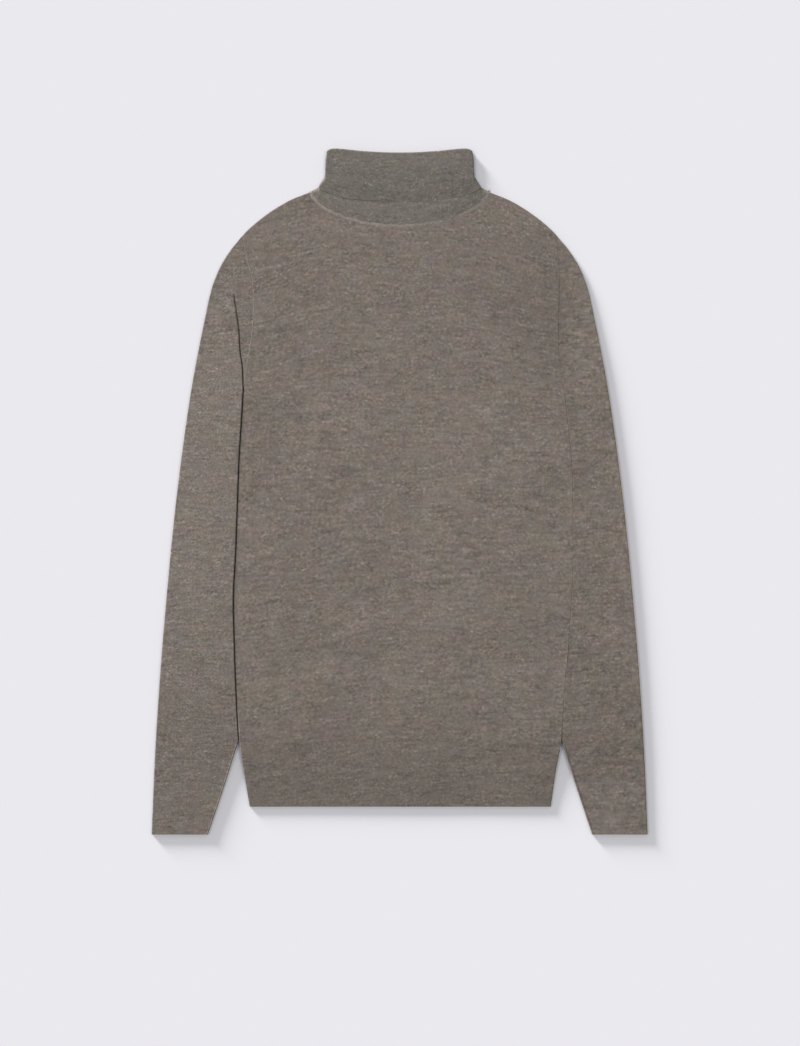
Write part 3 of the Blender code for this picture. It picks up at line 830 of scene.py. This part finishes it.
def body_height(x, y, facing, top_y, on_shoulder):
    """Height of the middle of the front's or back's knit.

    It closes in on the fold at the sides, and on the seam where on_shoulder is set.
    """
    ax = np.abs(x)
    height = np.zeros_like(x)
    for side in (LEFT, RIGHT):
        here = x >= 0 if side == LEFT else x < 0
        edge = at_side(BODY_SIDE, side, np.minimum(y, UNDERARM_Y)) - KNIT / 2
        away = np.where(y <= UNDERARM_Y, edge - ax, np.hypot(edge - ax, y - UNDERARM_Y))
        seam_away = np.hypot(np.maximum(NECK_X - ax, 0), top_y - y)
        to_top = np.where(on_shoulder, seam_away, EDGE_ROUND)
        near = np.clip(np.minimum(away / fold_round(side, y), to_top / EDGE_ROUND), 0, 1)
        share = np.sqrt(np.maximum(0, 1 - (1 - near) ** 2))
        front_rise, back_rise = front_lift(side, ax, y), back_lift(side, ax, y)
        fold = mix(front_rise, back_rise, 0.5) + BODY_HEIGHT / 2
        if facing == FRONT:
            level = front_rise + (BODY_HEIGHT - KNIT / 2) + front_relief(x, y) * near
        else:
            level = back_rise + KNIT / 2 + back_relief(x, y) * near
        height = np.where(here, mix(fold, level, share), height)
    return height


def body_columns(edge, rounding, spacing):
    """Places across one half, with more points round the folded edge."""
    flat = np.linspace(0, 1, round(PANEL_HALF / spacing) + 1)
    out, _ = quarter()
    edge, rounding = edge[:, None], rounding[:, None]
    inner = edge - rounding
    return np.concatenate([flat * (inner - SUPPORT), inner, edge - rounding * out[-2::-1]], 1)


def whole(halves):
    """Both halves' places across, from the wearer's right to the left."""
    return np.concatenate([halves[RIGHT][:, ::-1], halves[LEFT][:, 1:]], 1)


def body_grid(start_y, end_y, spacing):
    """Grid of the body or its hem below the underarms."""
    rows = seam_levels(start_y, end_y, spacing)
    halves = {}
    for side in (LEFT, RIGHT):
        edge = at_side(BODY_SIDE, side, rows) - KNIT / 2
        halves[side] = side * body_columns(edge, fold_round(side, rows), spacing)
    x = whole(halves)
    y = np.repeat(rows[:, None], x.shape[1], 1)
    return x, y, np.full(x.shape, FAR), np.zeros(x.shape, bool)


def yoke_grid(spacing, middle_y):
    """Grid between the underarms and the top edge, bowed like the shoulders."""
    shares = np.linspace(0, 1, round((SHOULDER_Y - UNDERARM_Y) / spacing) + 1)[1:]
    out, _ = quarter()
    bend = [EDGE_ROUND + SUPPORT, *EDGE_ROUND * out[::-1]]
    below = np.concatenate([np.zeros(len(shares) - 1), bend])
    shares = np.concatenate([shares[:-1], np.ones(BEND_STEPS + 1)])
    level = mix(UNDERARM_Y, SHOULDER_Y - KNIT / 2, shares)
    top_halves, halves = {}, {}
    for side in (LEFT, RIGHT):
        rounding = fold_round(side, level)
        top = np.array([at_side(ARMHOLE, side, SHOULDER_Y)])
        top_halves[side] = side * body_columns(top, rounding[:1], spacing)
        opened = ease((level - UNDERARM_Y) / ARMHOLE_OPENS)
        edge = at_side(BODY_SIDE, side, UNDERARM_Y) - KNIT / 2
        edge = mix(edge, at_side(ARMHOLE, side, level), opened)
        halves[side] = side * body_columns(edge, rounding, spacing)
    top_x = whole(top_halves)
    top_y = top_edge(top_x, middle_y)
    y = mix(UNDERARM_Y, top_y, shares[:, None]) - below[:, None]
    on_shoulder = np.repeat(np.abs(top_x) > NECK_X, len(shares), 0)
    return whole(halves), y, np.repeat(top_y, len(shares), 0), on_shoulder


def make_panel(name, node, facing, grid, seam_away, shade, seed, material):
    """The front, the back or a hem; seam_away is how far its places are from the hem's seam."""
    x, y, top_y, on_shoulder = grid
    z = body_height(x, y, facing, top_y, on_shoulder)
    if facing == FRONT:
        z = z - SEAM_DIP * ease(1 - seam_away / SEAM_REACH)
    # Painted shade down the body, with painted light and shade in places on the front.
    shade = shade * nap_and_painted_shading(x, y, BODY_PAINTED_SHADE, facing == FRONT)
    return make_piece(name, (x, y, z), body_courses(x, y), seed + facing, grid_faces(*x.shape),
                      material, [node], flip=facing == BACK, nap_and_painted_shading=shade)


def make_body(name, node, facing, middle_y, spacing, material):
    lower = body_grid(HEM_SEAM_Y, UNDERARM_Y, spacing)
    grid = [np.concatenate(parts) for parts in zip(lower, yoke_grid(spacing, middle_y))]
    x, y = grid[:2]
    # Painted shade just below the neckline.
    shade = fade(y - neckline(x, middle_y), *NECK_PAINTED_SHADE)
    return make_panel(name, node, facing, grid, y - HEM_SEAM_Y, shade, SEEDS["body"], material)


def make_hem(name, node, facing, spacing, material):
    grid = body_grid(HEM_Y, HEM_SEAM_Y, spacing)
    return make_panel(name, node, facing, grid, HEM_SEAM_Y - grid[1], 1.0, SEEDS["hem"], material)


# ---- sleeves
def wall_steps():
    """Shares out and down of the rounded top of a wall beside the slot."""
    angles = np.linspace(0, pi / 2, WALL_STEPS)
    return np.sin(angles), 1 - np.cos(angles)


def sleeve_section(side, y, spacing):
    """Grid of x and z round a sleeve, from its inner edge over the top and back underneath.

    The last value is the column where the underside ends.
    """
    r = y[:, None]
    above = r > UNDERARM_Y
    edge = at_side(SLEEVE_HEIGHTS, side, r, "_edge")
    crown = at_side(SLEEVE_HEIGHTS, side, r)
    free = ease((TUCK_FREE_Y[0] - r) / (TUCK_FREE_Y[0] - TUCK_FREE_Y[1]))
    tuck = mix(np.minimum(TUCKED_TOP[side], crown), crown, free)
    half_slot = SLOT_WIDTH[side] / 2
    middle = slot_middle(side, r)
    seam = at_side(ARMHOLE, side, r)
    opening = ease((SLOT_TOP_Y[side] - r) / SLOT_RAMP[side])

    # The tucked edge, or above the underarm the armhole's seam.
    fold = tucked_edge(side, r) + KNIT / 2
    wall_x = np.maximum(middle + half_slot + KNIT / 2, fold + FOLD_ROOM)
    fold_radius = np.minimum((tuck - KNIT) / 2, FOLD_SHARE * (wall_x - fold))
    fold_radius = mix(fold_radius, EDGE_ROUND, free)
    start_x = np.where(above, seam, fold + fold_radius)
    wall_x = np.where(above, middle + half_slot + KNIT / 2, wall_x)
    inner_wall = np.maximum(middle - half_slot - KNIT / 2, start_x)

    body_level = BODY_HEIGHT + front_lift(side, seam, r) - KNIT / 2
    low = tuck - KNIT / 2
    crown_z = crown - KNIT / 2
    start_z = np.where(above, body_level, low)
    lip_z = np.where(above, mix(body_level, crown_z, 0.5 * (1 - opening)), low)
    depth = opening * SLOT_DEPTH[side]
    outer_lip = np.where(above, mix(mix(body_level, crown_z, 0.5), crown_z, opening), crown_z)
    floor_z = np.maximum(mix(lip_z, outer_lip, 0.5) - depth, KNIT * SLOT_FLOOR)
    floor_z = np.where(above, floor_z, low)

    slant = np.hypot(1.0, (outline(r + 1) - outline(r - 1)) / 2)
    outer_radius = (edge - KNIT) / 2
    rim = outline(r) - KNIT / 2 * slant
    reach = np.minimum(EDGE_ROUND * slant, RIM_SHARE * np.maximum(rim - start_x, LEAST))
    wall_round = mix(WALL_ROUND[side], EDGE_ROUND, free)
    round_x = np.minimum(wall_round, WALL_SHARE * np.maximum(rim - wall_x, LEAST))
    wall_x = np.minimum(wall_x, rim - WALL_MARGIN)
    inner_wall = np.minimum(inner_wall, wall_x)

    xs, zs = [], []

    def add(x, z):
        xs.append(np.broadcast_to(x, r.shape))
        zs.append(np.broadcast_to(z, r.shape))

    def bend(x, reach_x, z, reach_z, shares_x, shares_z):
        for share_x, share_z in zip(shares_x, shares_z):
            add(x + reach_x * share_x, z + reach_z * share_z)

    out, down = wall_steps()
    strip_end = np.maximum(inner_wall - LIP_ROUND[side], start_x)
    inner_drop = np.minimum(inner_wall - strip_end, 0.5 * (lip_z - floor_z))
    outer_drop = np.minimum(round_x, 0.5 * (outer_lip - floor_z))
    strip_close = 1 - np.minimum(SUPPORT / np.maximum(strip_end - start_x, LEAST), STRIP_SUPPORT)
    for p in [*np.linspace(0, *STRIP_STEPS), strip_close, 1]:
        add(mix(start_x, strip_end, p), mix(start_z, lip_z, p))
    bend(strip_end, inner_wall - strip_end, lip_z, -inner_drop, out[1:], down[1:])
    add(inner_wall, mix(lip_z, floor_z, 1 - SLOT_CORNER))
    add(mix(inner_wall, wall_x, SLOT_CORNER), floor_z)
    add(mix(inner_wall, wall_x, 1 - SLOT_CORNER), floor_z)
    add(wall_x, mix(outer_lip, floor_z, 1 - SLOT_CORNER))
    top_start = wall_x + round_x
    bend(top_start, wall_x - top_start, outer_lip, -outer_drop, out[:0:-1], down[:0:-1])
    top_end = rim - reach
    edge_z = edge - KNIT / 2
    close = np.minimum(SUPPORT / np.maximum(top_end - top_start, LEAST), TOP_SUPPORT)
    for p in [0, close, *np.linspace(0, 1, round(SLEEVE_TOP / spacing))[1:-1], 1 - close, 1]:
        add(mix(top_start, top_end, p), mix(outer_lip, edge_z, p ** CROWN_FALL[side]))
    inward, up = quarter()
    bend(rim, -reach, edge / 2, outer_radius, inward[-2::-1], up[-2::-1])
    top_half = np.concatenate(xs, 1)
    gaps = NUDGE * np.arange(top_half.shape[1])
    xs = [np.maximum.accumulate(top_half - gaps, 1) + gaps]
    bend(rim, -reach, edge / 2, -outer_radius, inward[1:], up[1:])
    under_steps = round(SLEEVE_UNDER / COARSE)
    last_under = top_half.shape[1] + BEND_STEPS - 1 + under_steps - 2
    under_end = np.where(above, seam, fold + fold_radius)
    for p in np.linspace(0, 1, under_steps)[1:]:
        add(mix(rim - reach, under_end, p), np.full(r.shape, KNIT / 2))
    inner_half = (tuck - KNIT) / 2
    bend(fold, fold_radius, tuck / 2, -inner_half, inward[-2::-1], up[-2::-1])
    bend(fold, fold_radius, tuck / 2, inner_half, inward[1:-1], up[1:-1])
    return np.concatenate(xs, 1), np.concatenate(zs, 1), last_under


def make_sleeve(side, part, rows, material):
    """A sleeve or its cuff, as one flattened tube that is open along the armhole."""
    name = SIDE_NAMES[side]
    x, z, last_under = sleeve_section(side, rows, FINE)
    y = np.repeat(rows[:, None], x.shape[1], 1)
    z = z + front_relief(side * x, y) * ease((z - TUCK_HEIGHT + KNIT) / KNIT)
    z = z + back_relief(side * x, y) * ease(2 - 2 * z / KNIT)
    if part == "sleeve":
        dip = ease(1 - (y - CUFF_SEAM_Y) / SEAM_REACH)
    else:
        dip = ease(1 - (CUFF_SEAM_Y - y) / SEAM_REACH)
    z = z - SEAM_DIP * dip * (z > KNIT)
    open_rows = rows[:-1] >= UNDERARM_Y - LEAST
    faces = grid_faces(*x.shape, closed=True,
                       skip=lambda r, c: open_rows[r] & (c >= last_under))
    u, v = sleeve_courses(side, x, y)
    seed = SEEDS["sleeve"] + 2 * side + (part == "cuff")
    # The sleeve carries painted shade down its length, with painted light and shade in places on
    # its top.
    return make_piece(f"{part}_{name}_knit", (side * x, y, z), (side * u, v), seed, faces,
                      material, [f"{part}_{name}"], flip=side == LEFT,
                      nap_and_painted_shading=nap_and_painted_shading(side * x, y, SLEEVE_PAINTED_SHADE, z > KNIT))


# ---- collar
def collar_ring(ring, rise, spacing):
    """Closed flattened ring of the collar: x, y, z and half thickness round it.

    rise is how much higher than its middle the top fold's corners reach, and 0 elsewhere.
    """
    half = (ring["front"] - ring["back"]) / 2 - ring["half"]
    centre = (ring["front"] + ring["back"]) / 2
    width = ring["half_width"] - KNIT / 2
    out, up = quarter()
    inner = width - COLLAR_ROUND
    flat = np.linspace(0, 1, round(COLLAR_HALF / spacing)) ** COLLAR_SPREAD * (inner - SUPPORT)
    xs = np.concatenate([flat, inner - COLLAR_ROUND * (out[::-1] - 1)])
    rounding = np.concatenate([np.ones(len(flat)), up[::-1]])
    q = xs / width

    def place(facing):
        middle_y = ring["front_y"] if facing == FRONT else ring["back_y"]
        if rise:
            fall = 1 - np.sqrt(np.maximum(1 - q ** CREST_CORNER, 0.0))
        else:
            fall = 1 - np.maximum(1 - q * q, 0.0) ** ring["bend"]
        y = middle_y + rise * q * q + (ring["side_y"] - middle_y - rise) * fall
        z = centre + facing * half * rounding
        if facing == FRONT:
            z = z + creases(xs, y, COLLAR_CREASES) * rounding
        return y, z

    front_y, front_z = place(FRONT)
    back_y, back_z = place(BACK)
    x, y, z = [np.concatenate([a[::-1], b[1:], c[-2::-1], d[1:-1]]) for a, b, c, d in (
        (xs, -xs, -xs, xs), (front_y, front_y, back_y, back_y),
        (front_z, front_z, back_z, back_z))]
    return np.array([x, y, z, np.full(x.shape, ring["half"])])


def read_rings(table, count):
    """A count of rings at even places of a table."""
    names = table["columns"][1:]
    places = np.linspace(0, len(table["rows"]) - 1, count)
    return [{name: float(smooth(table, "t", name, t)) for name in names} for t in places]


def collar_rings(spacing):
    """Rings up the stand, round the top fold and down the turnover."""
    stand = read_rings(STAND_RINGS, round(STAND_LENGTH / spacing))
    turnover = read_rings(TURNOVER_RINGS, round(TURNOVER_LENGTH / spacing))
    crest = []
    for angle in np.linspace(*CREST_TURN) * pi:
        out = (1 - cos(angle)) / 2
        drop = CREST_HALF * (1 - sin(angle))
        crest.append(dict(
            half_width=COLLAR_CREST["half_width"] - 2 * CREST_HALF * (1 - out),
            side_y=COLLAR_CREST["side_y"] - drop,
            front_y=COLLAR_TOP_Y - KNIT / 2 - drop,
            back_y=COLLAR_TOP_Y - KNIT / 2 - drop,
            front=mix(stand[-1]["front"], turnover[0]["front"], out),
            back=mix(stand[-1]["back"], turnover[0]["back"], out),
            half=KNIT / 2,
        ))
    stand = [collar_ring(ring, 0, spacing) for ring in stand]
    crest = [collar_ring(ring, COLLAR_CREST["rise"], spacing) for ring in crest]
    turnover = [collar_ring(ring, 0, spacing) for ring in turnover]
    falls = (CREST_CLOSE, *np.linspace(0, 1, CREST_FALL)[1:-1])
    rising = [mix(stand[-1], crest[0], t) for t in np.linspace(0, 1, CREST_RISE)[1:-1]]
    falling = [mix(crest[-1], turnover[0], t) for t in falls]
    return stand + rising + crest + falling + turnover


def make_collar(material):
    x, y, z, half = np.moveaxis(np.array(collar_rings(COLLAR_SPACING)), 1, 0)
    middle = np.argmin(np.abs(x[0]))
    steps = np.hypot(np.diff(y[:, middle]), np.diff(z[:, middle]))
    along = np.concatenate([[0.0], np.cumsum(steps)])
    u, v = collar_courses(x, along[:, None] + 0 * x)
    wave = EDGE_WAVE * sum(np.sin(x / length + phase) for length, phase in EDGE_WAVES)
    last = len(EDGE_WAVE_SHARES)
    y[-last:] += wave[-last:] * np.array(EDGE_WAVE_SHARES)[:, None]
    deeper, thinner = EDGE_PRESS
    from_edge = len(x) - 1 - np.arange(len(x))
    pressed = ease((x - PRESS_STARTS_X) / PRESS_WIDTH) * (z > COLLAR_HEIGHT / 2)
    pressed *= ease((PRESS_RINGS - from_edge) / PRESS_RINGS)[:, None]
    # Painted shade: the collar darker from the top of its stand on, and at the stand's foot by
    # the neckline; the pressed edge is made lighter.
    shade = fade(v, *TURNOVER_PAINTED_SHADE) * fade(v, *STAND_PAINTED_SHADE) * (1 + EDGE_LIGHTENING * pressed ** 3)
    return make_piece("collar_knit", (x, y, z - deeper * pressed), (u, v), SEEDS["collar"],
                      grid_faces(*x.shape, closed=True), material, ["collar"],
                      half=half - thinner * pressed, nap_and_painted_shading=shade)


# ---- linked seams
def make_chain(name, path, width, height, least, seed, material, sides=8):
    """A raised row of uneven links along a path; least is the smallest link's share."""
    steps = np.linalg.norm(np.diff(path, axis=0), axis=1)
    along = np.concatenate([[0.0], np.cumsum(steps)])
    places = np.arange(0, along[-1], LINK / LINK_POINTS)
    path = np.stack([np.interp(places, along, path[:, k]) for k in range(3)], 1)
    forward = np.gradient(path, axis=0)
    tilt = NECK_TILT * np.maximum(forward[:, 0], 0)
    across = np.stack([-forward[:, 1], forward[:, 0], tilt], 1)
    across /= np.maximum(np.linalg.norm(across, axis=1, keepdims=True), TINY)
    draws = len(places) // round(LINKS_PER_DRAW * LINK_POINTS) + 2
    drawn_at = np.arange(draws) * LINKS_PER_DRAW * LINK
    uneven = np.random.default_rng(seed).uniform(0, 1, (2, draws))
    size, shift = [np.interp(places, drawn_at, row) for row in uneven]
    size = mix(least, 1, size) * mix(LINK_WAIST, 1, np.abs(np.sin(pi * places / LINK)))
    path = path + across * (shift[:, None] - 0.5) * width / 3
    angles = np.linspace(0, 2 * pi, sides, endpoint=False)
    out = np.cos(angles)[None, :, None] * across[:, None, :] * width / 2
    up = np.sin(angles)[None, :, None] * np.array([0, 0, height / 2])
    points = path[:, None, :] + (out + up) * size[:, None, None]
    x, y, z = points[..., 0], points[..., 1], points[..., 2]
    knit = np.broadcast_arrays(places[:, None], angles * width / 2)
    return make_piece(name, (x, y, z), knit, seed, grid_faces(*x.shape, closed=True),
                      material, half=0.0, nap_and_painted_shading=fade(x, *LINKING_FADE))


def neck_path():
    """Once round the neckline, from the wearer's right over the front and the back."""
    t = np.linspace(-1, 1, PATH_STEPS)
    halves = []
    for facing, middle_y in ((FRONT, FRONT_NECK_Y), (BACK, BACK_NECK_Y)):
        x = NECK_X * np.sin(pi / 2 * t) * facing
        y = neckline(x, middle_y)
        near = np.clip(np.hypot(NECK_X - np.abs(x), NECK_Y - y) / (BODY_HEIGHT / 2), 0, 1)
        share = np.sqrt(1 - (1 - near) ** 2)
        z = BODY_HEIGHT / 2 + facing * share * BODY_HEIGHT / 2
        if facing == FRONT:
            z = z + (front_relief(x, y) + NECK_CHAIN_RISE) * near
            y = y + NECK_CHAIN_UP
        else:
            z = np.maximum(z, NECK_CHAIN[1] / 2)
        halves.append(np.stack([x, y, z], 1))
    return np.concatenate(halves)


def armhole_path(side, facing):
    lower, upper = ARMHOLE_CHAIN_ENDS
    y = np.linspace(UNDERARM_Y + lower, SHOULDER_Y - upper, ARMHOLE_STEPS)
    ax = at_side(ARMHOLE, side, y)
    if facing == FRONT:
        z = BODY_HEIGHT + front_lift(side, ax, y) + front_relief(side * ax, y)
    else:
        z = np.full(y.shape, ARMHOLE_CHAIN[1] / 2)
    return np.stack([side * ax, y, z], 1)


# ---- floor, light, view
def make_floor():
    bpy.ops.mesh.primitive_plane_add(size=FLOOR_SIZE)
    floor = bpy.context.object
    floor.name = "floor"
    floor.data.materials.append(plain_material("floor", FLOOR_COLOUR))
    return floor


def make_sun(name, azimuth, elevation, spread, share):
    """A soft distant light that gives the floor this share of its full light."""
    data = bpy.data.lights.new(name, "SUN")
    data.angle = radians(spread)
    data.energy = share * pi / sin(radians(elevation))
    sun = add_object(name, data)
    a, e = radians(azimuth), radians(elevation)
    towards = Vector((cos(a) * cos(e), sin(a) * cos(e), sin(e)))
    sun.rotation_euler = towards.to_track_quat("Z", "Y").to_euler()


def make_light():
    world = bpy.data.worlds.new("studio")
    world.use_nodes = True
    sky = world.node_tree.nodes["Background"]
    sky.inputs["Color"].default_value = (1.0, 1.0, 1.0, 1.0)
    sky.inputs["Strength"].default_value = SKY_STRENGTH
    bpy.context.scene.world = world
    make_sun("key", azimuth=130, elevation=10.5, spread=14, share=0.35)
    make_sun("top left", azimuth=180, elevation=64, spread=12, share=0.115)
    make_sun("top right", azimuth=0, elevation=64, spread=12, share=0.115)


def make_camera():
    """Straight down, with the picture's frame and scale on the floor."""
    data = bpy.data.cameras.new("camera")
    data.sensor_width = SENSOR
    view_height = PICTURE_PIXELS[1] * MM_PER_PIXEL * MM
    data.lens = SENSOR * CAMERA_DISTANCE / view_height
    camera = add_object("camera", data)
    x = (PICTURE_PIXELS[0] / 2 - ORIGIN_PIXEL[0]) * MM_PER_PIXEL * MM
    y = (ORIGIN_PIXEL[1] - PICTURE_PIXELS[1] / 2) * MM_PER_PIXEL * MM
    camera.location = (x, y, CAMERA_DISTANCE)
    bpy.context.scene.camera = camera


# ---- main
bpy.context.scene.view_settings.view_transform = "Standard"
make_camera()
make_light()
floor = make_floor()

body_knit = knit_material(
    "melange_knit", BODY_COLOUR, fleck_size=(3.2, 3.0), streak_size=(20.0, 3.8), contrast=0.97)
hem_rib = knit_material(
    "melange_hem", BODY_COLOUR, fleck_size=(3.0, 2.8), streak_size=(18.0, 3.6), contrast=0.92,
    hue=0.6)
sleeve_knits, cuff_ribs = {}, {}
for side, name in SIDE_NAMES.items():
    fleck_size, contrast, patchy = SLEEVE_MELANGE[side]
    sleeve_knits[side] = knit_material(
        f"melange_sleeve_{name}", SLEEVE_COLOUR[side], fleck_size, SLEEVE_STREAK, contrast,
        patchy=patchy)
    cuff_ribs[side] = knit_material(
        f"melange_cuff_{name}", CUFF_COLOUR[side], fleck_size, SLEEVE_STREAK,
        CUFF_CONTRAST * contrast, patchy=patchy)
collar_rib = knit_material(
    "melange_collar", COLLAR_COLOUR, fleck_size=(2.4, 2.5), streak_size=(9.0, 3.2),
    contrast=0.85, hue=0.7)
linking = knit_material(
    "linking", LINKING_COLOUR, fleck_size=(1.7, 1.7), streak_size=(3.4, 2.0), contrast=0.8,
    stitched=0.0)

back = make_body("back_knit", "body_back", BACK, BACK_NECK_Y, COARSE, body_knit)
front = make_body("front_knit", "body_front", FRONT, FRONT_NECK_Y, FINE, body_knit)
hem_back = make_hem("hem_back_knit", "hem_rib_back", BACK, COARSE, hem_rib)
hem_front = make_hem("hem_front_knit", "hem_rib_front", FRONT, FINE, hem_rib)
collar = make_collar(collar_rib)
neck_chain = make_chain("neck_linking", neck_path(), *NECK_CHAIN, SEEDS["neck"], linking)

long_rows = seam_levels(CUFF_SEAM_Y, SHOULDER_Y - SLEEVE_ENDS, FINE)
cuff_rows = seam_levels(CUFF_Y, CUFF_SEAM_Y, FINE)
for side, width, area in ((LEFT, 0.249, 0.1001), (RIGHT, 0.260, 0.1079)):
    slot_rows = np.arange(SLOT_TOP_Y[side] - SLOT_RAMP[side], SLOT_TOP_Y[side], SLOT_STEP)
    sleeve_rows = np.unique(np.concatenate([long_rows, slot_rows]))
    sleeve = make_sleeve(side, "sleeve", sleeve_rows, sleeve_knits[side])
    cuff = make_sleeve(side, "cuff", cuff_rows, cuff_ribs[side])
    for facing, face_name in ARMHOLE_LINKING[side]:
        name = f"armhole_{SIDE_NAMES[side]}_{face_name}_linking"
        path, seed = armhole_path(side, facing), SEEDS["armhole"] + side
        make_chain(name, path, *ARMHOLE_CHAIN, seed, linking, sides=6)
